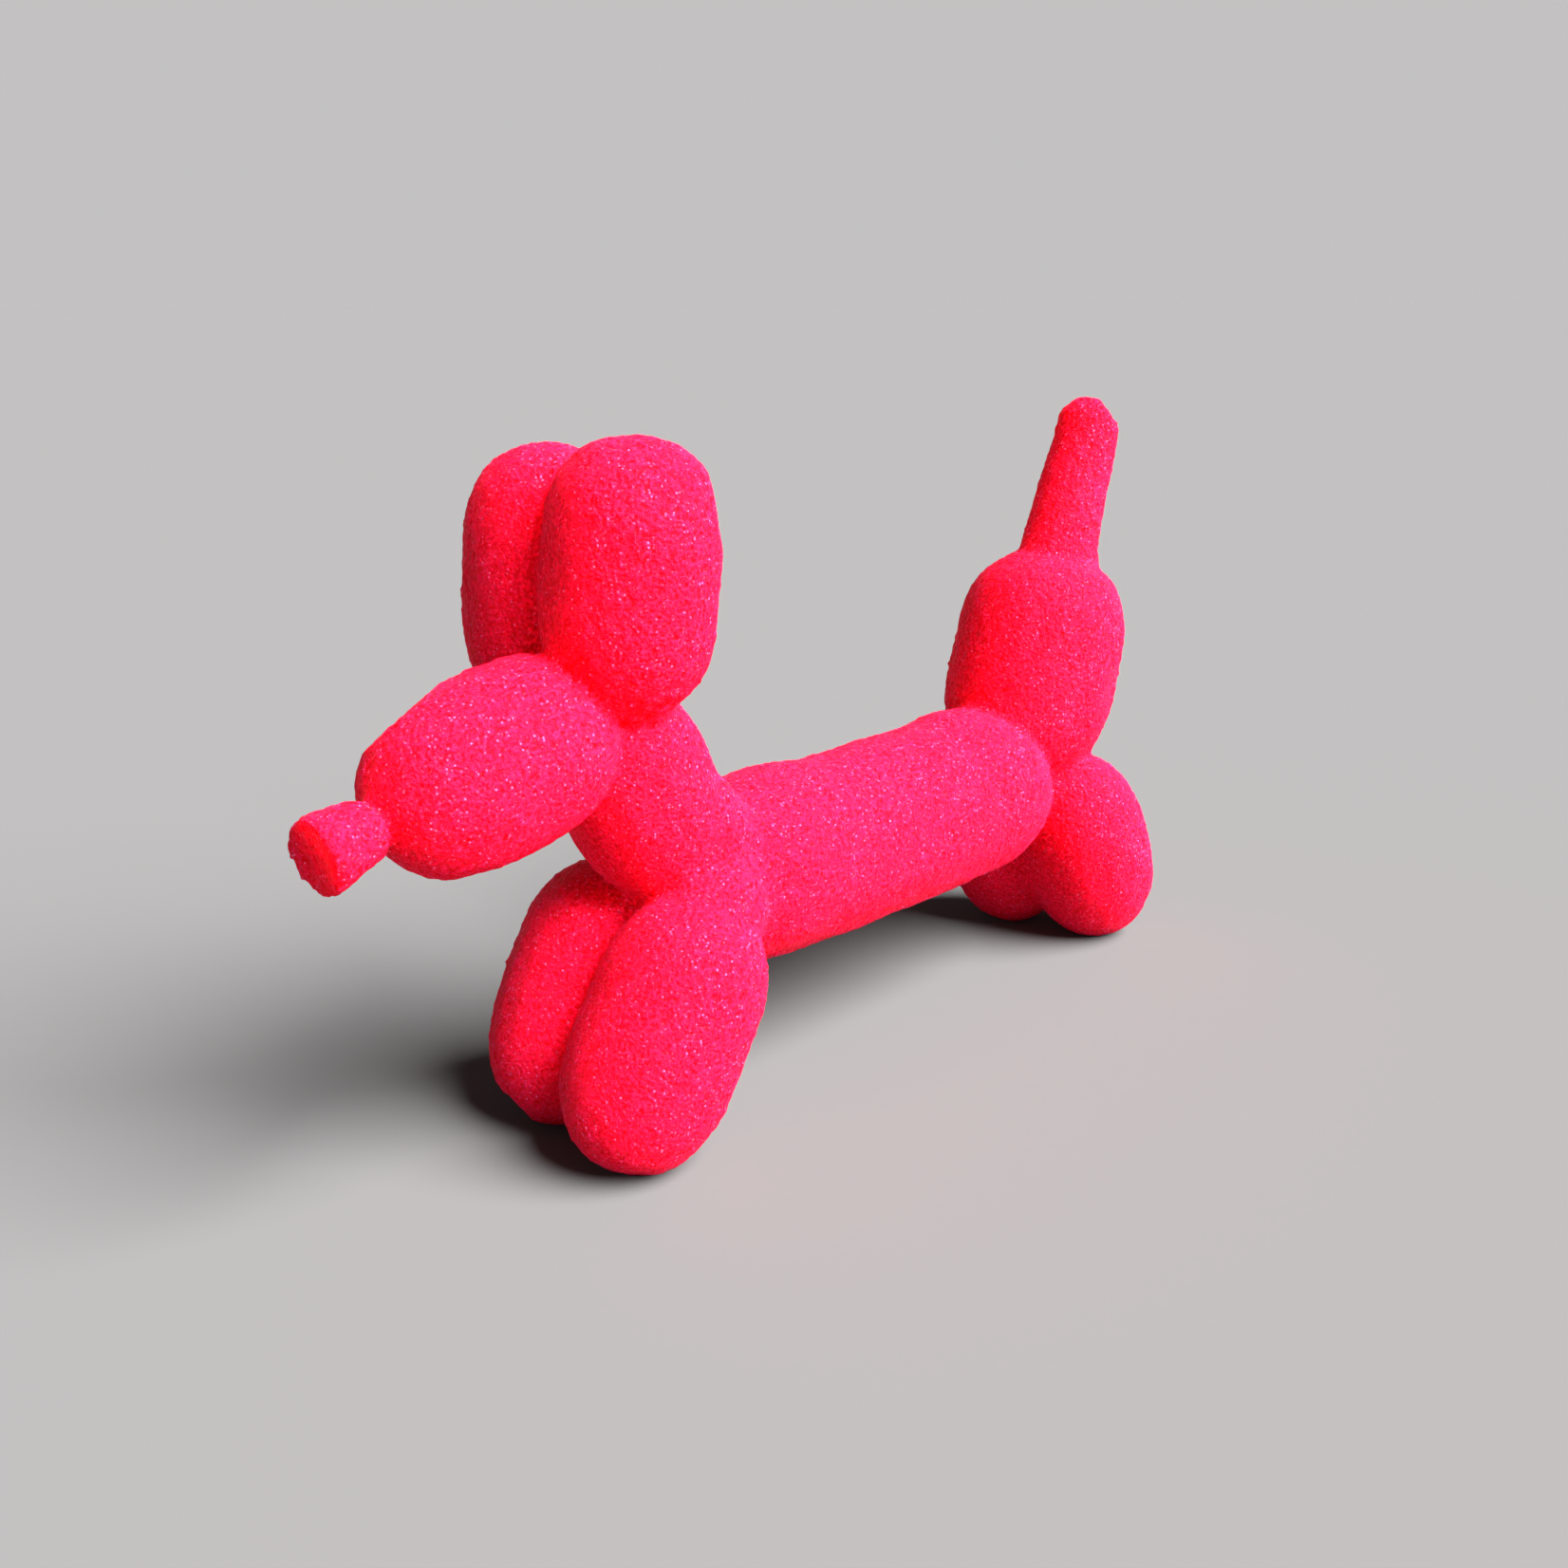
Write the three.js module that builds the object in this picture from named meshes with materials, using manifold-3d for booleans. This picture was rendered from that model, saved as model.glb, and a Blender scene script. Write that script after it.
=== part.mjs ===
// A balloon dog cut with scissors from one block of soft foam rubber.
// Sizes are millimetres and angles are degrees. The dog looks along -X with its left side towards -Y,
// and it stands on four feet at z = 0 with the middle of its length and width over the origin.

import * as THREE from 'three';
import { mergeVertices } from 'three/addons/utils/BufferGeometryUtils.js';
import Module from 'manifold-3d';

const wasm = await Module();
wasm.setup();

// The pose: limbs start at three twists, two on the body's axis and one at the top of the neck.
const bodyHeight = 36.5;
const twistSpan = 95.5;
const neckReach = 39.5;

// Each foot is pressed this deep into a flat sole.
const footPress = 0.7;

// How finely the round forms are cut.
const sidesAround = 30;
const ringsAlong = 13;
const knotSides = 20;

// A bulb has a length, a width at its widest, a fullness (2 is an ellipsoid, 4 is nearly a sausage) and a
// swell towards its far end. Rise is the angle above straight ahead: 90 points up and 180 points to the tail.
// It starts at its twist, moved back to the tail, across to the right and up, and runs past it by sink.
const body = { width: 32.4, fullness: 3.9, swell: 0.06, up: -0.3, pastFront: 7.5, pastRear: 3.5 };
const neck = { length: 43, width: 25, fullness: 2.6, rise: 63.9, back: 4.8, sink: -1.8 };
const snout = { length: 40.3, width: 27.4, fullness: 3, swell: -0.03, rise: -12.7, up: -1.4, sink: 0.3 };
const ear = { length: 41.5, width: 26.4, fullness: 3.4, swell: 0.04 };
const leftEar = { ...ear, rise: 96.3, back: 0.9, across: -5.8, sink: 2 };
const rightEar = { ...ear, rise: 97.2, back: 0.6, across: 13.2, sink: 4 };
const tailBulb = { length: 47, width: 33.6, fullness: 3.1, rise: 106.6, back: -1.8, sink: 0.4 };
const tailTip = { length: 35, baseWidth: 15.9, topWidth: 12.3, topRound: 5, rise: 109.3, sink: 4.6 };

// A leg points down, leaning forwards by lean and away from the middle by spread.
const frontLeg = { length: 45.2, width: 27.2, fullness: 3.05, spread: 0 };
const leftFrontLeg = { ...frontLeg, lean: 32.3, back: -0.1, across: -10.8 };
const rightFrontLeg = { ...frontLeg, lean: 29.6, spread: -2.5, back: 0.1, across: 11 };
const rearLeg = { length: 44, fullness: 2.6, spread: 0 };
const leftRearLeg = { ...rearLeg, width: 26.6, lean: -25.3, back: 4.6, across: -9.4 };
const rightRearLeg = { ...rearLeg, width: 25, lean: -23.3, back: -0.2, across: 7.9 };

// Foam that the scissors left about the twists: two low humps on the back, and webs that fill the creases.
// Each is centred on its twist, moved the same way.
const shoulderHump = { length: 56, width: 32, fullness: 2.4, rise: 180, back: 24, up: 0.7 };
const haunchHump = { length: 38, width: 33, fullness: 2.6, rise: 180, back: -19, up: 0.3 };
const shoulderWeb = { length: 26, width: 17, fullness: 2.4, rise: 64, back: 5.5, across: -3.5, up: 10 };
const hipWeb = { length: 18, width: 15.5, fullness: 2.4, rise: 170, back: 2, across: -10, up: 0.5 };
const earWeb = { length: 18, width: 12, fullness: 2.5, rise: 96, up: 4 };
const tailWeb = { length: 17, width: 15, fullness: 2.4, rise: 105, back: 2.4, up: 1.5 };

// The knot is a short cone that flares forwards from a rounded back, with a shallow hollow in its face.
const knot = { length: 11.2, faceWidth: 11.6, faceHollow: 1, backWidth: 8.8, backRound: 2.2 };
const knotPlace = { rise: -10.4, turn: 5, up: 0.2, sink: 1.3 };

const foamRed = 0xf0123c;
const redFoam = new THREE.MeshStandardMaterial({ name: 'red foam', color: foamRed, roughness: 0.9, metalness: 0 });

const toRadians = THREE.MathUtils.degToRad;
const quarterCircle = [0, 30, 60, 90].map((angle) => toRadians(angle));

// A direction from its rise above straight ahead and its turn to the dog's left.
function heading(rise, turn = 0) {
  const level = Math.cos(toRadians(rise));
  return new THREE.Vector3(
    -level * Math.cos(toRadians(turn)),
    -level * Math.sin(toRadians(turn)),
    Math.sin(toRadians(rise)),
  );
}

function legHeading(leg) {
  const forward = Math.tan(toRadians(leg.lean));
  const outward = Math.sign(leg.across) * Math.tan(toRadians(leg.spread));
  return new THREE.Vector3(-forward, outward, -1).normalize();
}

// How far a shape is moved from its twist.
function offsetOf({ back = 0, across = 0, up = 0 }) {
  return new THREE.Vector3(back, across, up);
}

// A closed three.js geometry as a solid, with the vertices along its seams merged.
function solidOf(geometry) {
  geometry.deleteAttribute('normal');
  geometry.deleteAttribute('uv');
  const merged = mergeVertices(geometry, 1e-4);
  return new wasm.Manifold(new wasm.Mesh({
    numProp: 3,
    vertProperties: new Float32Array(merged.attributes.position.array),
    triVerts: new Uint32Array(merged.index.array),
  }));
}

// Turns a profile of [radius, distance along] points about the axis, from start along direction.
function turned(profile, start, direction, sides) {
  const geometry = new THREE.LatheGeometry(profile.map(([r, y]) => new THREE.Vector2(r, y)), sides);
  const turn = new THREE.Quaternion().setFromUnitVectors(new THREE.Vector3(0, 1, 0), direction);
  geometry.applyQuaternion(turn);
  geometry.translate(start.x, start.y, start.z);
  return solidOf(geometry);
}

// Radius of a bulb at a share of its half length, from -1 at its start to 1 at its far end.
function bulbRadius({ width, fullness, swell = 0 }, share) {
  const round = Math.sqrt(Math.max(0, 1 - Math.abs(share) ** fullness));
  return (width / 2) * round * (1 + swell * share);
}

// Shares along a bulb, closer together towards its rounded ends.
function sharesAlong() {
  const steps = Array.from({ length: ringsAlong + 1 }, (unused, i) => i / ringsAlong);
  return steps.map((step) => Math.sin(Math.PI * (step - 0.5)));
}

function bulbSolid(shape, centre, direction) {
  const half = shape.length / 2;
  const profile = sharesAlong().map((share) => [bulbRadius(shape, share), share * half]);
  profile[0][0] = 0;
  profile[ringsAlong][0] = 0;
  return turned(profile, centre, direction, sidesAround);
}

// Centre of a bulb that starts at a twist.
function centreFrom(twist, shape, direction) {
  const start = twist.clone().add(offsetOf(shape));
  return start.addScaledVector(direction, shape.length / 2 - shape.sink);
}

// How far a bulb reaches below its own centre.
function reachBelow(shape, direction) {
  const down = -direction.z;
  const across = Math.sqrt(1 - down * down);
  const half = shape.length / 2;
  const reaches = sharesAlong().map((share) => share * half * down + bulbRadius(shape, share) * across);
  return Math.max(...reaches);
}

// Centre of a leg on its own axis through the hip, with its foot pressed into the ground.
function centrePlanted(twist, leg, direction) {
  const hip = twist.clone().add(offsetOf(leg));
  const centreHeight = reachBelow(leg, direction) - footPress;
  return hip.addScaledVector(direction, (hip.z - centreHeight) / -direction.z);
}

const frontTwist = new THREE.Vector3(-twistSpan / 2, 0, bodyHeight);
const rearTwist = new THREE.Vector3(twistSpan / 2, 0, bodyHeight);
const neckHeading = heading(neck.rise);
const headTwist = frontTwist.clone().add(offsetOf(neck)).addScaledVector(neckHeading, neckReach);
const tailHeading = heading(tailBulb.rise);
const tailCentre = centreFrom(rearTwist, tailBulb, tailHeading);
const tailTwist = tailCentre.clone().addScaledVector(tailHeading, tailBulb.length / 2 - tailTip.sink);

function bodySolid() {
  const backwards = heading(180);
  const length = twistSpan + body.pastFront + body.pastRear;
  const front = frontTwist.clone().add(offsetOf(body));
  const centre = front.addScaledVector(backwards, length / 2 - body.pastFront);
  return bulbSolid({ ...body, length }, centre, backwards);
}

function headSolids() {
  const snoutHeading = heading(snout.rise);
  const snoutCentre = centreFrom(headTwist, snout, snoutHeading);
  const earSolids = [leftEar, rightEar].map((shape) => {
    const up = heading(shape.rise);
    return bulbSolid(shape, centreFrom(headTwist, shape, up), up);
  });
  return [
    bulbSolid(neck, centreFrom(frontTwist, neck, neckHeading), neckHeading),
    bulbSolid(snout, snoutCentre, snoutHeading),
    ...earSolids,
    knotSolid(snoutCentre.addScaledVector(snoutHeading, snout.length / 2)),
  ];
}

function webSolid(twist, web) {
  return bulbSolid(web, twist.clone().add(offsetOf(web)), heading(web.rise));
}

function knotSolid(noseEnd) {
  const { length, faceWidth, faceHollow, backWidth, backRound } = knot;
  const forwards = heading(knotPlace.rise, knotPlace.turn);
  const start = noseEnd.add(offsetOf(knotPlace)).addScaledVector(forwards, -knotPlace.sink);
  const backEdge = quarterCircle.map((angle) => [
    backWidth / 2 - backRound + backRound * Math.sin(angle),
    backRound - backRound * Math.cos(angle),
  ]);
  const profile = [[0, 0], ...backEdge, [faceWidth / 2, length], [0, length - faceHollow]];
  return turned(profile, start, forwards, knotSides);
}

function tailSolids() {
  return [
    bulbSolid(tailBulb, tailCentre, tailHeading),
    turned(tipProfile(), tailTwist, heading(tailTip.rise), sidesAround),
  ];
}

// The tail tip narrows evenly and ends in a rounded top.
function tipProfile() {
  const { length, baseWidth, topWidth, topRound } = tailTip;
  const topEdge = quarterCircle.map((angle) => [
    topWidth / 2 - topRound + topRound * Math.cos(angle),
    length - topRound + topRound * Math.sin(angle),
  ]);
  return [[0, 0], [baseWidth / 2, 0], ...topEdge, [0, length]];
}

function legSolids(legs, twist) {
  return legs.map((leg) => {
    const down = legHeading(leg);
    return bulbSolid(leg, centrePlanted(twist, leg, down), down);
  });
}

// Everything below the ground, which trims the soles flat.
function groundSolid() {
  const reach = 4 * twistSpan;
  const block = new THREE.BoxGeometry(reach, reach, reach);
  block.translate(0, 0, -reach / 2);
  return solidOf(block);
}

function meshOf(solid, name, material) {
  const { vertProperties, triVerts } = solid.getMesh();
  const geometry = new THREE.BufferGeometry();
  geometry.setAttribute('position', new THREE.BufferAttribute(new Float32Array(vertProperties), 3));
  geometry.setIndex(new THREE.BufferAttribute(new Uint32Array(triVerts), 1));
  geometry.computeVertexNormals();
  const mesh = new THREE.Mesh(geometry, material);
  mesh.name = name;
  return mesh;
}

const dogSolid = [
  bodySolid(),
  ...headSolids(),
  ...legSolids([leftFrontLeg, rightFrontLeg], frontTwist),
  ...legSolids([leftRearLeg, rightRearLeg], rearTwist),
  ...tailSolids(),
  ...[shoulderHump, shoulderWeb, hipWeb].map((web) => webSolid(frontTwist, web)),
  webSolid(rearTwist, haunchHump),
  webSolid(headTwist, earWeb),
  webSolid(tailTwist, tailWeb),
].reduce((whole, piece) => whole.add(piece)).subtract(groundSolid());

const dog = meshOf(dogSolid, 'balloon_dog', redFoam);
dog.geometry.computeBoundingBox();
const middle = dog.geometry.boundingBox.getCenter(new THREE.Vector3());
dog.position.set(-middle.x, -middle.y, 0);

const figure = new THREE.Group();
figure.add(dog);

export default figure;
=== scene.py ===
import math
import random

import bmesh
import bpy
from mathutils import Matrix, Vector, kdtree


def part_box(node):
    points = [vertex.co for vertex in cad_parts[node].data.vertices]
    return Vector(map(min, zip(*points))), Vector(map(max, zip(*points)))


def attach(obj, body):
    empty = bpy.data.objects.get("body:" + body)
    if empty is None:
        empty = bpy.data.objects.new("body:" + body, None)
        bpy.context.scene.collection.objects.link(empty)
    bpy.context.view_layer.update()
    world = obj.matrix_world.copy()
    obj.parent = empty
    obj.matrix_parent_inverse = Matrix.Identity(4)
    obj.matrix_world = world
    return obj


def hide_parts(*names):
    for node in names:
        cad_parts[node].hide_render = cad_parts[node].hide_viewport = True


# A balloon dog snipped with scissors out of one block of soft red foam. It looks along -X, its left is -Y.
# Shapes are worked out in millimetres and turned to metres once their mesh is finished.
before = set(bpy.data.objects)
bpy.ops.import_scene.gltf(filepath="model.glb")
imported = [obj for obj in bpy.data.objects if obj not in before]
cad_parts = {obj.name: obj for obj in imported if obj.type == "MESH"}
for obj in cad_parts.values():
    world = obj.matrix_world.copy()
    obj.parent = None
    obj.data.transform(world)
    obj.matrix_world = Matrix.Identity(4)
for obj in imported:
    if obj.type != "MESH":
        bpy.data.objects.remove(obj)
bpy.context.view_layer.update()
mm = 0.001
print("frame loaded:", ", ".join(sorted(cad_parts)))


photoCamera = {
    "azimuth": -45.65,  # degrees round from the -Y side
    "elevation": 17.34,
    "roll": -0.38,
    "distance": 267.75,
    "target": (-2.78, -1.03, 49.85),
    "focalPixels": 1639.53,  # focal length, in pixels of a 1652 pixel wide picture
    "picturePixels": 1652,
    "sensorWidth": 36,
}


def directionTo(azimuth, elevation):
    level = math.cos(math.radians(elevation))
    return Vector((
        math.sin(math.radians(azimuth)) * level,
        -math.cos(math.radians(azimuth)) * level,
        math.sin(math.radians(elevation)),
    ))


def addObject(name, data):
    thing = bpy.data.objects.new(name, data)
    bpy.context.scene.collection.objects.link(thing)
    return thing


def addCamera(settings):
    back = directionTo(settings["azimuth"], settings["elevation"])
    lens = bpy.data.cameras.new("photo_camera")
    lens.sensor_width = settings["sensorWidth"]
    lens.lens = settings["focalPixels"] / settings["picturePixels"] * settings["sensorWidth"]
    lens.clip_start = mm
    camera = addObject("photo_camera", lens)
    aim = (-back).to_track_quat("-Z", "Y").to_matrix().to_4x4()
    stand = aim @ Matrix.Rotation(math.radians(settings["roll"]), 4, "Z")
    stand.translation = (Vector(settings["target"]) + back * settings["distance"]) * mm
    camera.matrix_world = stand
    bpy.context.scene.camera = camera


# The bulbs start at twists, moved by at, and sink is how far behind its twist a bulb starts. Rise is the
# angle above straight ahead, where 90 points up and 180 to the tail, and turn swings it to the dog's left.
# Fullness 2 is an ellipsoid and 4 is nearly a sausage, and swell makes the far end fatter.
earShape = {"length": 41.5, "width": 26.4, "fullness": 3.4, "swell": 0.04}
frontLegShape = {"length": 45.2, "width": 27.2, "fullness": 3.05}
rearLegShape = {"length": 44, "fullness": 2.6}
dogShape = {
    "bodyHeight": 36.5,
    "twistSpan": 95.5,
    "neckReach": 39.5,
    "footPress": 0.7,
    "sidesAround": 48,
    "ringsAlong": 26,
    "roundSteps": 6,
    "body": {"width": 32.4, "fullness": 3.9, "swell": 0.06, "rise": 180, "at": (0, 0, -0.3),
             "pastFront": 7.5, "pastRear": 3.5},
    "neck": {"length": 43, "width": 25, "fullness": 2.6, "rise": 63.9, "at": (4.8, 0, 0), "sink": -1.8},
    "snout": {"length": 40.3, "width": 27.4, "fullness": 3, "swell": -0.03, "rise": -12.7,
              "at": (0, 0, -1.4), "sink": 0.3},
    "ears": [
        {**earShape, "rise": 96.3, "at": (0.9, -5.8, 0), "sink": 2},
        {**earShape, "rise": 97.2, "at": (0.6, 13.2, 0), "sink": 4},
    ],
    "frontLegs": [
        {**frontLegShape, "rise": -57.7, "at": (-0.1, -10.8, 0)},
        {**frontLegShape, "rise": -60.3, "turn": 4.4, "at": (0.1, 11, 0)},
    ],
    "rearLegs": [
        {**rearLegShape, "width": 26.6, "rise": -115.3, "at": (4.6, -9.4, 0)},
        {**rearLegShape, "width": 25, "rise": -113.3, "at": (-0.2, 7.9, 0)},
    ],
    "tailBulb": {"length": 47, "width": 33.6, "fullness": 3.1, "rise": 106.6,
                 "at": (-1.8, 0, 0), "sink": 0.4},
    "tailTip": {"length": 35, "baseWidth": 15.9, "topWidth": 12.3, "topRound": 5,
                "rise": 109.3, "sink": 4.6},
    "knot": {"length": 11.2, "faceWidth": 11.6, "faceHollow": 1, "backWidth": 9.2, "backRound": 3.4,
             "rise": -10.4, "turn": 5, "at": (0, 0, 0.2), "sink": 1.3},
    "webs": [  # foam left standing about the twists, each centred on its twist moved by at
        {"twist": "front", "at": (24, 0, 0.7), "length": 56, "width": 32, "fullness": 2.4, "rise": 180},
        {"twist": "rear", "at": (-19, 0, 0.3), "length": 38, "width": 33, "fullness": 2.6, "rise": 180},
        {"twist": "front", "at": (5.5, -3.5, 10), "length": 26, "width": 17, "fullness": 2.4, "rise": 64},
        {"twist": "front", "at": (2, -10, 0.5), "length": 18, "width": 15.5, "fullness": 2.4, "rise": 170},
        {"twist": "head", "at": (0, 0, 4), "length": 18, "width": 12, "fullness": 2.5, "rise": 96},
        {"twist": "tail", "at": (2.4, 0, 1.5), "length": 17, "width": 15, "fullness": 2.4, "rise": 105},
    ],
}
weldGap = 0.001  # points closer together than this become one


def heading(rise, turn=0):
    level = math.cos(math.radians(rise))
    return Vector((
        -level * math.cos(math.radians(turn)),
        -level * math.sin(math.radians(turn)),
        math.sin(math.radians(rise)),
    ))


def headingOf(shape):
    return heading(shape["rise"], shape.get("turn", 0))


def spinOutline(outline, start, direction):
    # turns an outline of (radius, distance along) points round the direction
    solid = bmesh.new()
    points = [solid.verts.new((radius, 0, along)) for radius, along in outline]
    for low, high in zip(points, points[1:]):
        solid.edges.new((low, high))
    bmesh.ops.spin(
        solid, geom=solid.verts[:] + solid.edges[:], cent=(0, 0, 0), axis=(0, 0, 1), dvec=(0, 0, 0),
        angle=2 * math.pi, steps=dogShape["sidesAround"], use_merge=True,
    )
    bmesh.ops.remove_doubles(solid, verts=solid.verts, dist=weldGap)
    bmesh.ops.recalc_face_normals(solid, faces=solid.faces)
    turn = direction.to_track_quat("Z", "Y").to_matrix()
    bmesh.ops.rotate(solid, verts=solid.verts, cent=(0, 0, 0), matrix=turn)
    bmesh.ops.translate(solid, verts=solid.verts, vec=start)
    return solid


def bulbOutline(shape):
    # the rings crowd towards both ends, where the outline curves most
    rings = dogShape["ringsAlong"]
    shares = [math.sin(math.pi * (ring / rings - 0.5)) for ring in range(rings + 1)]
    outline = []
    for share in shares:
        roundness = math.sqrt(max(0, 1 - abs(share) ** shape["fullness"]))
        radius = shape["width"] / 2 * roundness * (1 + shape.get("swell", 0) * share)
        outline.append((radius, share * shape["length"] / 2))
    return outline


def bulb(shape, centre):
    return spinOutline(bulbOutline(shape), centre, headingOf(shape))


def centreFrom(twist, shape):
    return twist + Vector(shape["at"]) + headingOf(shape) * (shape["length"] / 2 - shape["sink"])


def centrePlanted(twist, leg):
    # slides a leg along its own axis until its foot is pressed into the ground
    down = -headingOf(leg).z
    across = math.sqrt(1 - down * down)
    reach = max(along * down + radius * across for radius, along in bulbOutline(leg))
    hip = twist + Vector(leg["at"])
    return hip + headingOf(leg) * (hip.z - reach + dogShape["footPress"]) / down


def quarterRound(radius):
    steps = dogShape["roundSteps"]
    angles = [math.radians(90 * step / steps) for step in range(steps + 1)]
    return [(radius * math.sin(angle), radius * (1 - math.cos(angle))) for angle in angles]


def knotOutline(knot):
    backFlat = knot["backWidth"] / 2 - knot["backRound"]
    back = [(backFlat + across, along) for across, along in quarterRound(knot["backRound"])]
    face = [(knot["faceWidth"] / 2, knot["length"]), (0, knot["length"] - knot["faceHollow"])]
    return [(0, 0)] + back + face


def tipOutline(tip):
    topFlat = tip["topWidth"] / 2 - tip["topRound"]
    rounding = reversed(quarterRound(tip["topRound"]))
    top = [(topFlat + across, tip["length"] - along) for across, along in rounding]
    return [(0, 0), (tip["baseWidth"] / 2, 0)] + top + [(0, tip["length"])]


def dogTwists():
    front = Vector((-dogShape["twistSpan"] / 2, 0, dogShape["bodyHeight"]))
    rear = Vector((dogShape["twistSpan"] / 2, 0, dogShape["bodyHeight"]))
    neck, tail = dogShape["neck"], dogShape["tailBulb"]
    head = front + Vector(neck["at"]) + headingOf(neck) * dogShape["neckReach"]
    tailEnd = centreFrom(rear, tail) + headingOf(tail) * (tail["length"] / 2 - dogShape["tailTip"]["sink"])
    return {"front": front, "rear": rear, "head": head, "tail": tailEnd}


def bodyAndLimbs(twists):
    body = dict(dogShape["body"])
    body["length"] = dogShape["twistSpan"] + body["pastFront"] + body["pastRear"]
    body["sink"] = body["pastFront"]
    solids = [bulb(shape, centreFrom(twists["front"], shape)) for shape in (body, dogShape["neck"])]
    for end, legs in (("front", "frontLegs"), ("rear", "rearLegs")):
        solids += [bulb(leg, centrePlanted(twists[end], leg)) for leg in dogShape[legs]]
    return solids


def headBulbs(twists):
    shapes = [dogShape["snout"]] + dogShape["ears"]
    return [bulb(shape, centreFrom(twists["head"], shape)) for shape in shapes]


def noseEnd(twists):
    snout = dogShape["snout"]
    tip = centreFrom(twists["head"], snout) + headingOf(snout) * snout["length"] / 2
    return tip + Vector(dogShape["knot"]["at"])


def knotSolid(twists):
    knot = dogShape["knot"]
    return spinOutline(knotOutline(knot), noseEnd(twists) - headingOf(knot) * knot["sink"], headingOf(knot))


def tipSolid(twists):
    return spinOutline(tipOutline(dogShape["tailTip"]), twists["tail"], headingOf(dogShape["tailTip"]))


# The scissors leave small flats all over, and a few larger ones, named by their part, that show in the
# outline. A flat's at is a point on it, seen from its twist.
scissorCuts = {
    "seed": 11,
    "areaEach": 60,
    "depth": (0.04, 0.3),
    "onPlane": 0.0001,  # points this near to a cut count as on it
    "tip": [
        {"twist": "tail", "at": (7.6, 3.7, 31.9), "normal": (-0.29, 0.52, 0.8)},
        {"twist": "tail", "at": (13, -2.2, 30.9), "normal": (0.47, -0.65, 0.6)},
    ],
    "snout": [{"twist": "head", "at": (-30.5, 5.2, 2.2), "normal": (-0.42, 0.49, 0.76)}],
    "leftEar": [
        {"twist": "head", "at": (4.5, -22.5, 29.9), "normal": (0.73, -0.66, 0.16)},
        {"twist": "head", "at": (3.2, -23.3, 13.6), "normal": (0.67, -0.7, -0.24)},
    ],
    "rightFrontLeg": [{"twist": "front", "at": (-27.6, 6.4, -27.5), "normal": (-0.79, 0.16, -0.59)}],
    "knot": [
        {"twist": "head", "at": (-49.7, 1.4, -7.4), "normal": (-0.4, 0.49, 0.78)},
        {"twist": "head", "at": (-51, 0.2, -13.2), "normal": (-0.88, 0.3, -0.37)},
        {"twist": "head", "at": (-49.7, -2.3, -15.8), "normal": (-0.66, 0.03, -0.75)},
    ],
}


def planeCut(solid, point, normal):
    cut = bmesh.ops.bisect_plane(
        solid, geom=solid.verts[:] + solid.edges[:] + solid.faces[:], dist=scissorCuts["onPlane"],
        plane_co=point, plane_no=normal, clear_outer=True,
    )
    rim = [part for part in cut["geom_cut"] if isinstance(part, bmesh.types.BMEdge)]
    if rim:
        bmesh.ops.edgeloop_fill(solid, edges=rim)


def cutFlats(solid, flats, twists):
    for flat in flats:
        planeCut(solid, twists[flat["twist"]] + Vector(flat["at"]), Vector(flat["normal"]).normalized())


def snip(solid, chance):
    # bmesh gives its faces in another order on each run, so they are sorted by place before any is picked
    faces = sorted(solid.faces, key=lambda face: face.calc_center_median()[:])
    areas = [face.calc_area() for face in faces]
    count = round(sum(areas) / scissorCuts["areaEach"])
    picked = chance.choices(faces, areas, k=count)
    spots = [(face.calc_center_median(), face.normal.copy()) for face in picked]
    for point, normal in spots:
        planeCut(solid, point - normal * chance.uniform(*scissorCuts["depth"]), normal)


def joined(solids):
    whole = bmesh.new()
    for solid in solids:
        held = bpy.data.meshes.new("held")
        solid.to_mesh(held)
        solid.free()
        whole.from_mesh(held)
        bpy.data.meshes.remove(held)
    return whole


def boxMiddle(solids):
    corners = [vert.co for solid in solids for vert in solid.verts]
    low = [min(corner[axis] for corner in corners) for axis in range(2)]
    high = [max(corner[axis] for corner in corners) for axis in range(2)]
    return Vector(((low[0] + high[0]) / 2, (low[1] + high[1]) / 2, 0))


def cutSolids(twists):
    # every solid with its flats, and the middle of the box that was about them before any cut
    body, neck, *legs = bodyAndLimbs(twists)
    tailBulb = bulb(dogShape["tailBulb"], centreFrom(twists["rear"], dogShape["tailBulb"]))
    snout, leftEar, rightEar = headBulbs(twists)
    knot, tip = knotSolid(twists), tipSolid(twists)
    rounded = [body, neck, *legs, tailBulb, snout, leftEar, rightEar]
    middle = boxMiddle(rounded + [knot, tip])
    chance = random.Random(scissorCuts["seed"])
    for solid in rounded:
        snip(solid, chance)
    outlined = {"snout": snout, "leftEar": leftEar, "rightFrontLeg": legs[1], "knot": knot, "tip": tip}
    for name, solid in outlined.items():
        cutFlats(solid, scissorCuts[name], twists)
    webs = [bulb(web, twists[web["twist"]] + Vector(web["at"])) for web in dogShape["webs"]]
    solids = rounded + [knot, tip] + webs
    for solid in solids:
        planeCut(solid, (0, 0, 0), (0, 0, -1))
    return solids, middle


def dogObject(solids, shift):
    whole = joined(solids)
    bmesh.ops.translate(whole, verts=whole.verts, vec=shift)
    bmesh.ops.scale(whole, verts=whole.verts, vec=(mm, mm, mm))
    mesh = bpy.data.meshes.new("red_foam_dog")
    whole.to_mesh(mesh)
    whole.free()
    return addObject("red_foam_dog", mesh)


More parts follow.
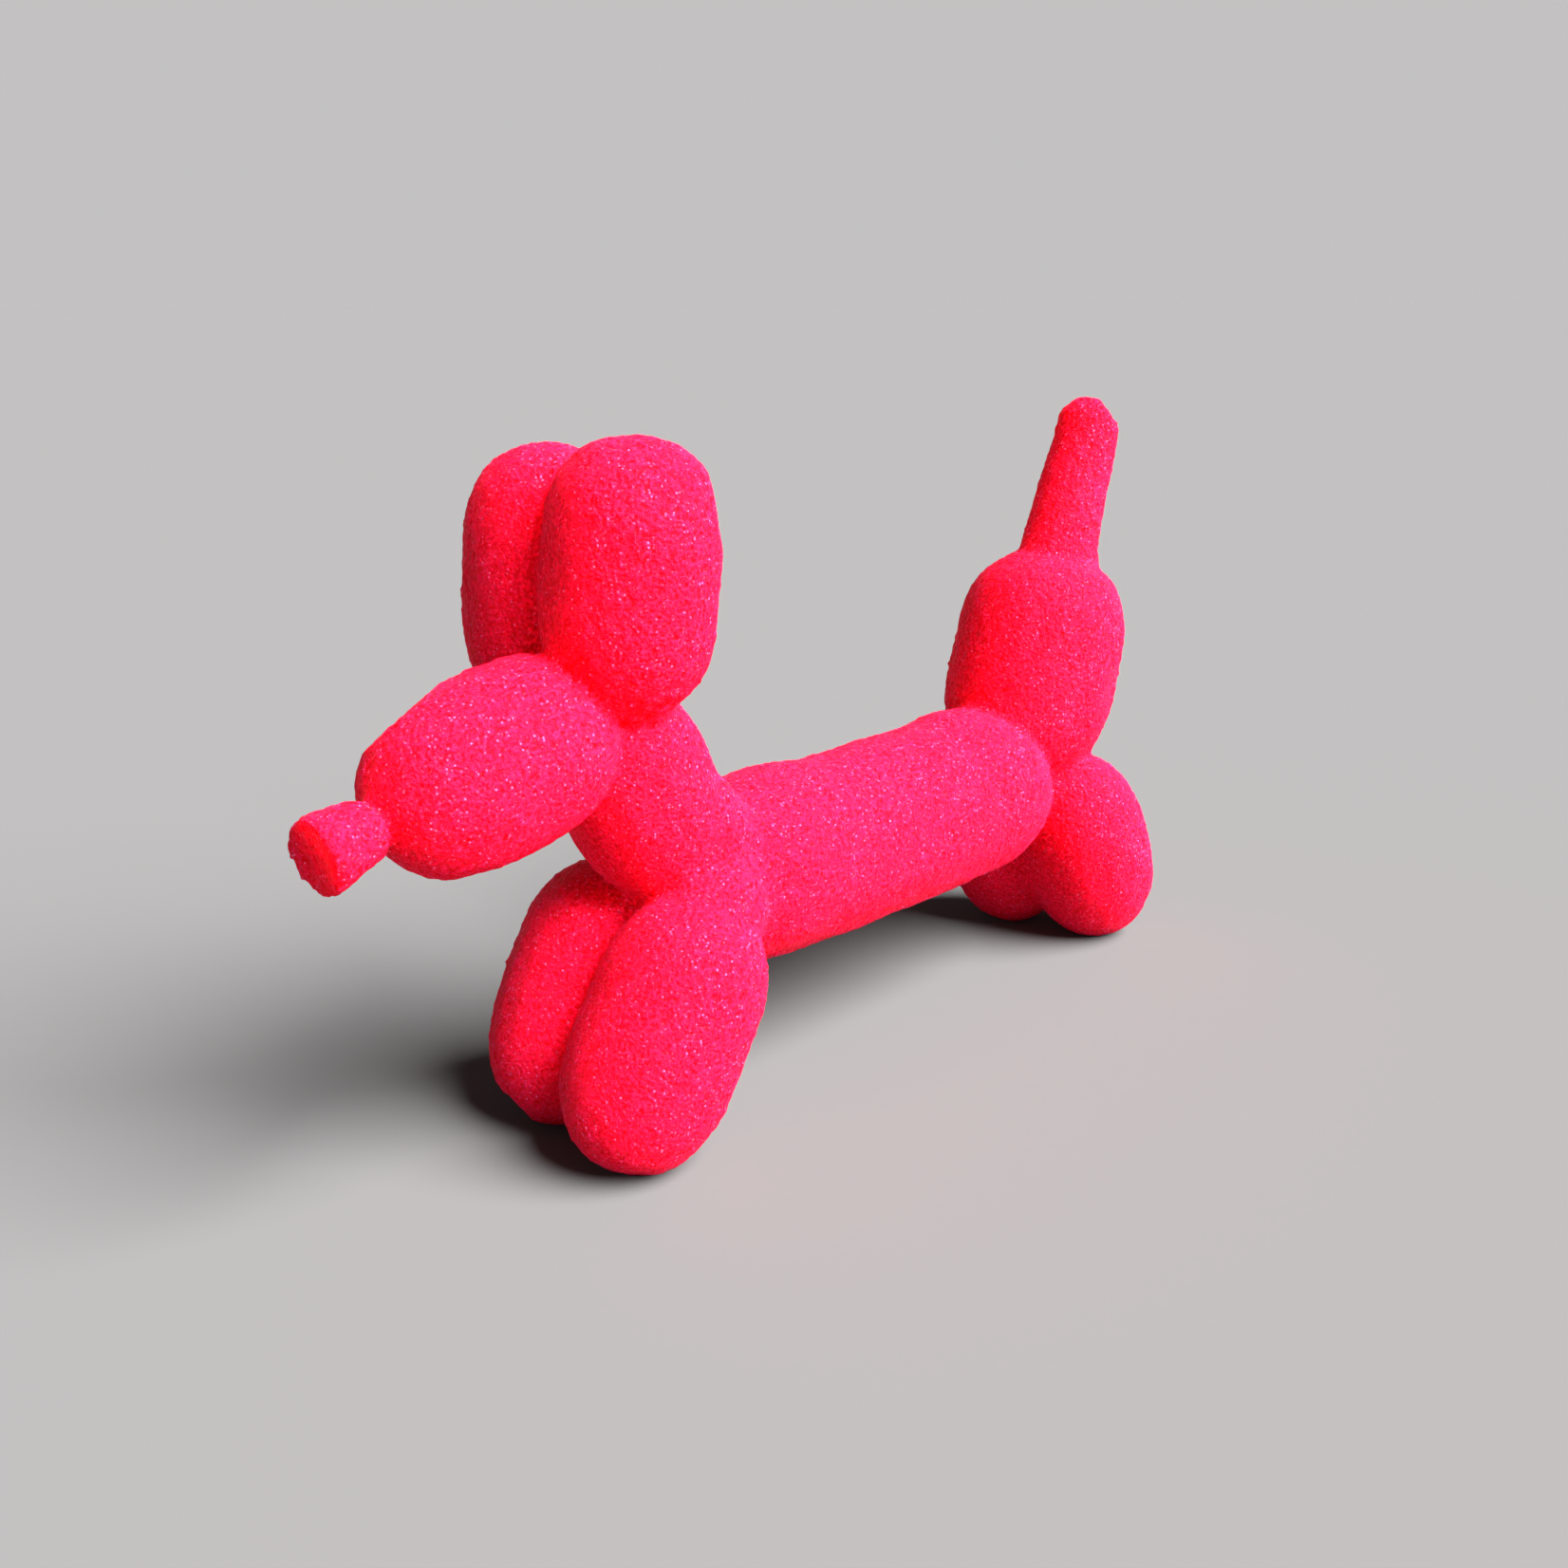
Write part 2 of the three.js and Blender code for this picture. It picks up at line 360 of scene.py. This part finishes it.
# How the foam's skin is finished. Soft creases are where the foam was left joined beside a twist.
foamSkin = {
    "voxel": 0.72,
    "smoothing": 0.5,  # how far each round moves a point to the middle of its neighbours
    "overall": 3,  # rounds of smoothing everywhere
    "softRounds": 70,
    "softCreases": [
        {"twist": "front", "at": (2.5, -14, 7), "reach": 15},
        {"twist": "front", "at": (2, -17, 1.5), "reach": 11},
        {"twist": "front", "at": (11, -15, 0), "reach": 9},
        {"twist": "front", "at": (12, -10, 12), "reach": 12},
        {"twist": "head", "at": (4.5, -12, -1), "reach": 9},
        {"twist": "rear", "at": (4, -12, 6), "reach": 8},
        {"twist": "tail", "at": (6.4, -3, 3), "reach": 7},
    ],
    "lumps": {"spacing": 11, "height": 0.7},
    "grain": {"spacing": 1.3, "height": 0.5},
    "tufts": {"seed": 5, "count": 900, "reach": 0.85, "height": (-0.4, 0.4)},
    "frayed": {"twist": "head", "at": (-0.5, -12.5, 1), "spread": 4.5, "count": 60, "reach": 1.1,
               "height": (-0.8, 0.7)},
    "knotGroove": {"ahead": -0.2, "width": 2.4, "depth": 0.8, "reach": 6.5},  # about the knot's back
    "soleSnap": 0.3,  # what is lower than this is pressed flat on the ground
}


def bakeModifiers(dog):
    graph = bpy.context.evaluated_depsgraph_get()
    graph.update()
    mesh = bpy.data.meshes.new_from_object(dog.evaluated_get(graph))
    dog.modifiers.clear()
    dog.data = mesh


def addModifier(dog, name, kind, settings):
    modifier = dog.modifiers.new(name, kind)
    for setting, value in settings.items():
        setattr(modifier, setting, value)


def eased(share):
    return share * share * (3 - 2 * share)


def softenCreases(dog, twists):
    group = dog.vertex_groups.new(name="softCreases")
    spots = [(twists[spot["twist"]] + Vector(spot["at"]), spot["reach"]) for spot in foamSkin["softCreases"]]
    for vertex in dog.data.vertices:
        share = max(1 - (vertex.co / mm - centre).length / reach for centre, reach in spots)
        if share > 0:
            group.add([vertex.index], eased(share), "REPLACE")
    addModifier(dog, "soft creases", "SMOOTH", {
        "factor": foamSkin["smoothing"], "iterations": foamSkin["softRounds"], "vertex_group": group.name})
    addModifier(dog, "worn edges", "SMOOTH", {
        "factor": foamSkin["smoothing"], "iterations": foamSkin["overall"]})
    bakeModifiers(dog)


def grooveKnot(dog, twists):
    groove = foamSkin["knotGroove"]
    axis = headingOf(dogShape["knot"])
    start = noseEnd(twists) + axis * groove["ahead"]
    for vertex in dog.data.vertices:
        offset = vertex.co / mm - start
        along = offset.dot(axis)
        outward = offset - axis * along
        if abs(along) < groove["width"] / 2 and outward.length < groove["reach"]:
            fade = 1 - (2 * along / groove["width"]) ** 2
            vertex.co -= outward.normalized() * groove["depth"] * fade * mm


def roughen(dog, name, settings):
    clouds = bpy.data.textures.new(name, "CLOUDS")
    clouds.noise_scale = settings["spacing"] * mm
    clouds.noise_depth = 1
    addModifier(dog, name, "DISPLACE", {
        "texture": clouds, "texture_coords": "LOCAL", "strength": settings["height"] * mm, "mid_level": 0.5})


def addTufts(dog, twists):
    # single cells that stand up or were torn out, and a frayed patch where the left ear was cut free
    tufts, frayed = foamSkin["tufts"], foamSkin["frayed"]
    chance = random.Random(tufts["seed"])
    vertices = dog.data.vertices
    near = kdtree.KDTree(len(vertices))
    for vertex in vertices:
        near.insert(vertex.co, vertex.index)
    near.balance()
    byPlace = sorted(range(len(vertices)), key=lambda index: vertices[index].co[:])
    patch = (twists[frayed["twist"]] + Vector(frayed["at"])) * mm
    inPatch = [index for index in byPlace if (vertices[index].co - patch).length < frayed["spread"] * mm]
    for kind, indices in ((tufts, byPlace), (frayed, inPatch)):
        reach = kind["reach"] * mm
        for _ in range(kind["count"]):
            centre = vertices[chance.choice(indices)]
            push = centre.normal * chance.uniform(*kind["height"]) * mm
            for _, index, gap in near.find_range(centre.co, reach):
                vertices[index].co += push * (1 - gap / reach)


def flattenSoles(dog):
    for vertex in dog.data.vertices:
        if vertex.co.z < foamSkin["soleSnap"] * mm:
            vertex.co.z = 0


def makeDog():
    twists = dogTwists()
    solids, middle = cutSolids(twists)
    low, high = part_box("balloon_dog")
    shift = (low + high) / 2 / mm - middle
    shift.z = 0
    dog = dogObject(solids, shift)
    print("bulbs cut:", len(dog.data.polygons), "faces")
    addModifier(dog, "one skin", "REMESH", {"mode": "VOXEL", "voxel_size": foamSkin["voxel"] * mm})
    bakeModifiers(dog)
    print("one skin:", len(dog.data.polygons), "faces")
    placed = {name: twist + shift for name, twist in twists.items()}
    softenCreases(dog, placed)
    grooveKnot(dog, placed)
    for layer in ("lumps", "grain"):
        roughen(dog, layer, foamSkin[layer])
    bakeModifiers(dog)
    addTufts(dog, placed)
    flattenSoles(dog)
    dog.vertex_groups.clear()
    dog.data.shade_smooth()
    print("foam roughened")
    return dog


def linear(hexColour):
    # an sRGB hex value as linear red, green, blue and alpha
    parts = [int(hexColour[i:i + 2], 16) / 255 for i in (1, 3, 5)]
    return [part / 12.92 if part <= 0.04045 else ((part + 0.055) / 1.055) ** 2.4 for part in parts] + [1]


def addNode(tree, kind, settings=None, links=None):
    # a number or an input's name sets that input, and any other name is a setting of the node itself
    node = tree.nodes.new(kind)
    for name, value in (settings or {}).items():
        if isinstance(name, int) or name in node.inputs:
            node.inputs[name].default_value = value
        else:
            setattr(node, name, value)
    for name, source in (links or {}).items():
        tree.links.new(source, node.inputs[name])
    return node


# Open-cell polyurethane foam, dyed red through and cut with scissors. Its base colour carries a fine random
# grain whose dark pores are painted shade in the cut cells, and pink specks that are painted glints off the
# cell walls;
# the foam itself has hardly any gloss, and its red fills its own shade because light wanders through the
# foam.
redFoam = {
    # painted shade: the dark of the hollows inside the open cells
    "poreShade": "#D0040F",
    "strut": "#F6113A",
    "pale": "#FC1A4C",
    # painted glint: the pink of light caught by cell walls, put into the base colour
    "paintedGlint": "#FF7CBC",
    "grainSize": 0.62,  # the cells of sponge as fine as this are 0.5 to 0.8 mm wide
    "grainDetail": 2,
    "grainRoughness": 0.6,
    "grainSpread": (0.34, 0.68),
    "patchSize": 16,
    "patchDetail": 3,
    "paintedGlintSize": 0.58,
    "paintedGlintReach": 0.4,
    "paintedGlintPower": 6,
    "roughness": 0.6,
    "ior": 1.5,
    "gloss": 0.05,  # torn struts mirror almost nothing
    "glintTint": "#FF96FF",
    "bumpDepth": 0.34,
    "glowDepth": 15,  # light that goes into the foam comes out pure red some millimetres away
    "glowReach": (1, 0.03, 0.05),  # share of that depth for red, green and blue
}


def foamMaterial():
    material = bpy.data.materials.new("red_open_cell_foam")
    material.use_nodes = True
    tree = material.node_tree
    shader = tree.nodes["Principled BSDF"]
    place = addNode(tree, "ShaderNodeTexCoord").outputs["Object"]
    noise = addNode(tree, "ShaderNodeTexNoise", {
        "Scale": 1 / (redFoam["grainSize"] * mm), "Detail": redFoam["grainDetail"],
        "Roughness": redFoam["grainRoughness"]}, {"Vector": place})
    low, high = redFoam["grainSpread"]
    grain = addNode(tree, "ShaderNodeMapRange", {"From Min": low, "From Max": high}, {
        "Value": noise.outputs["Fac"]})
    patches = addNode(tree, "ShaderNodeTexNoise", {
        "Scale": 1 / (redFoam["patchSize"] * mm), "Detail": redFoam["patchDetail"]}, {"Vector": place})
    tone = addNode(tree, "ShaderNodeMix", {
        "data_type": "RGBA", 6: linear(redFoam["strut"]), 7: linear(redFoam["pale"])}, {
        0: patches.outputs["Fac"]})
    # a random grain whose dark pores are painted shade in the open cells
    cut = addNode(tree, "ShaderNodeMix", {"data_type": "RGBA", 6: linear(redFoam["poreShade"])}, {
        0: grain.outputs["Result"], 7: tone.outputs[2]})
    # painted glints: rare pink dots on a pattern of cells, mixed into the base colour and raised a little in
    # the bump
    cells = addNode(tree, "ShaderNodeTexVoronoi", {"Scale": 1 / (redFoam["paintedGlintSize"] * mm)}, {
        "Vector": place})
    cellDraw = addNode(tree, "ShaderNodeSeparateColor", {}, {0: cells.outputs["Color"]})
    rare = addNode(tree, "ShaderNodeMath", {"operation": "POWER", 1: redFoam["paintedGlintPower"]}, {
        0: cellDraw.outputs[0]})
    dot = addNode(tree, "ShaderNodeMapRange", {"From Min": redFoam["paintedGlintReach"], "From Max": 0}, {
        "Value": cells.outputs["Distance"]})
    paintedGlint = addNode(tree, "ShaderNodeMath", {"operation": "MULTIPLY"}, {
        0: rare.outputs[0], 1: dot.outputs["Result"]})
    colour = addNode(tree, "ShaderNodeMix", {"data_type": "RGBA", 7: linear(redFoam["paintedGlint"])}, {
        0: paintedGlint.outputs[0], 6: cut.outputs[2]})
    height = addNode(tree, "ShaderNodeMath", {"operation": "ADD"}, {
        0: grain.outputs["Result"], 1: paintedGlint.outputs[0]})
    bump = addNode(tree, "ShaderNodeBump", {"Strength": 1, "Distance": redFoam["bumpDepth"] * mm}, {
        "Height": height.outputs[0]})
    tree.links.new(colour.outputs[2], shader.inputs["Base Color"])
    tree.links.new(bump.outputs["Normal"], shader.inputs["Normal"])
    shader.inputs["Roughness"].default_value = redFoam["roughness"]
    shader.inputs["IOR"].default_value = redFoam["ior"]
    shader.inputs["Specular IOR Level"].default_value = redFoam["gloss"]
    shader.inputs["Specular Tint"].default_value = linear(redFoam["glintTint"])
    shader.inputs["Subsurface Weight"].default_value = 1
    shader.inputs["Subsurface Radius"].default_value = redFoam["glowReach"]
    shader.inputs["Subsurface Scale"].default_value = redFoam["glowDepth"] * mm
    return material


studio = {
    "floor": "#5B5A5A",  # the strong key turns this grey pale
    "floorHalf": 30000,
    "key": {"azimuth": 18, "elevation": 43, "power": 23.5, "spread": 46},
    "world": "#F5F3F3",
    "horizon": 0.6,
    "overhead": 0.08,
    "fade": (0.2, 0.5),  # height on the sky, as a sine, where the bright horizon dims
}


def addSun(settings):
    lamp = bpy.data.lights.new("key_light", "SUN")
    lamp.energy = settings["power"]
    lamp.angle = math.radians(settings["spread"])
    light = addObject("key_light", lamp)
    towards = directionTo(settings["azimuth"], settings["elevation"])
    light.matrix_world = towards.to_track_quat("Z", "Y").to_matrix().to_4x4()


def addWorld():
    world = bpy.data.worlds.new("soft_room")
    world.use_nodes = True
    tree = world.node_tree
    air = tree.nodes["Background"]
    air.inputs["Color"].default_value = linear(studio["world"])
    direction = addNode(tree, "ShaderNodeTexCoord").outputs["Generated"]
    height = addNode(tree, "ShaderNodeSeparateXYZ", {}, {"Vector": direction}).outputs["Z"]
    dimFrom, dimTo = studio["fade"]
    brightness = addNode(tree, "ShaderNodeMapRange", {
        "From Min": dimFrom, "From Max": dimTo, "To Min": studio["horizon"], "To Max": studio["overhead"],
        "interpolation_type": "SMOOTHSTEP"}, {"Value": height})
    tree.links.new(brightness.outputs["Result"], air.inputs["Strength"])
    bpy.context.scene.world = world


def addStudio():
    slab = bmesh.new()
    bmesh.ops.create_grid(slab, x_segments=1, y_segments=1, size=studio["floorHalf"] * mm)
    mesh = bpy.data.meshes.new("floor")
    slab.to_mesh(mesh)
    slab.free()
    floor = addObject("floor", mesh)
    paint = bpy.data.materials.new("pale_matt_board")
    paint.use_nodes = True
    board = paint.node_tree.nodes["Principled BSDF"]
    board.inputs["Base Color"].default_value = linear(studio["floor"])
    board.inputs["Roughness"].default_value = 1
    board.inputs["Specular IOR Level"].default_value = 0
    mesh.materials.append(paint)
    addSun(studio["key"])
    addWorld()
    bpy.context.scene.view_settings.view_transform = "Standard"  # keeps the foam's strong red
    print("studio set")


addCamera(photoCamera)
dog = makeDog()
dog.data.materials.clear()
dog.data.materials.append(foamMaterial())
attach(dog, "root")
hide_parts("balloon_dog")
print("foam dog made:", len(dog.data.polygons), "faces")
addStudio()
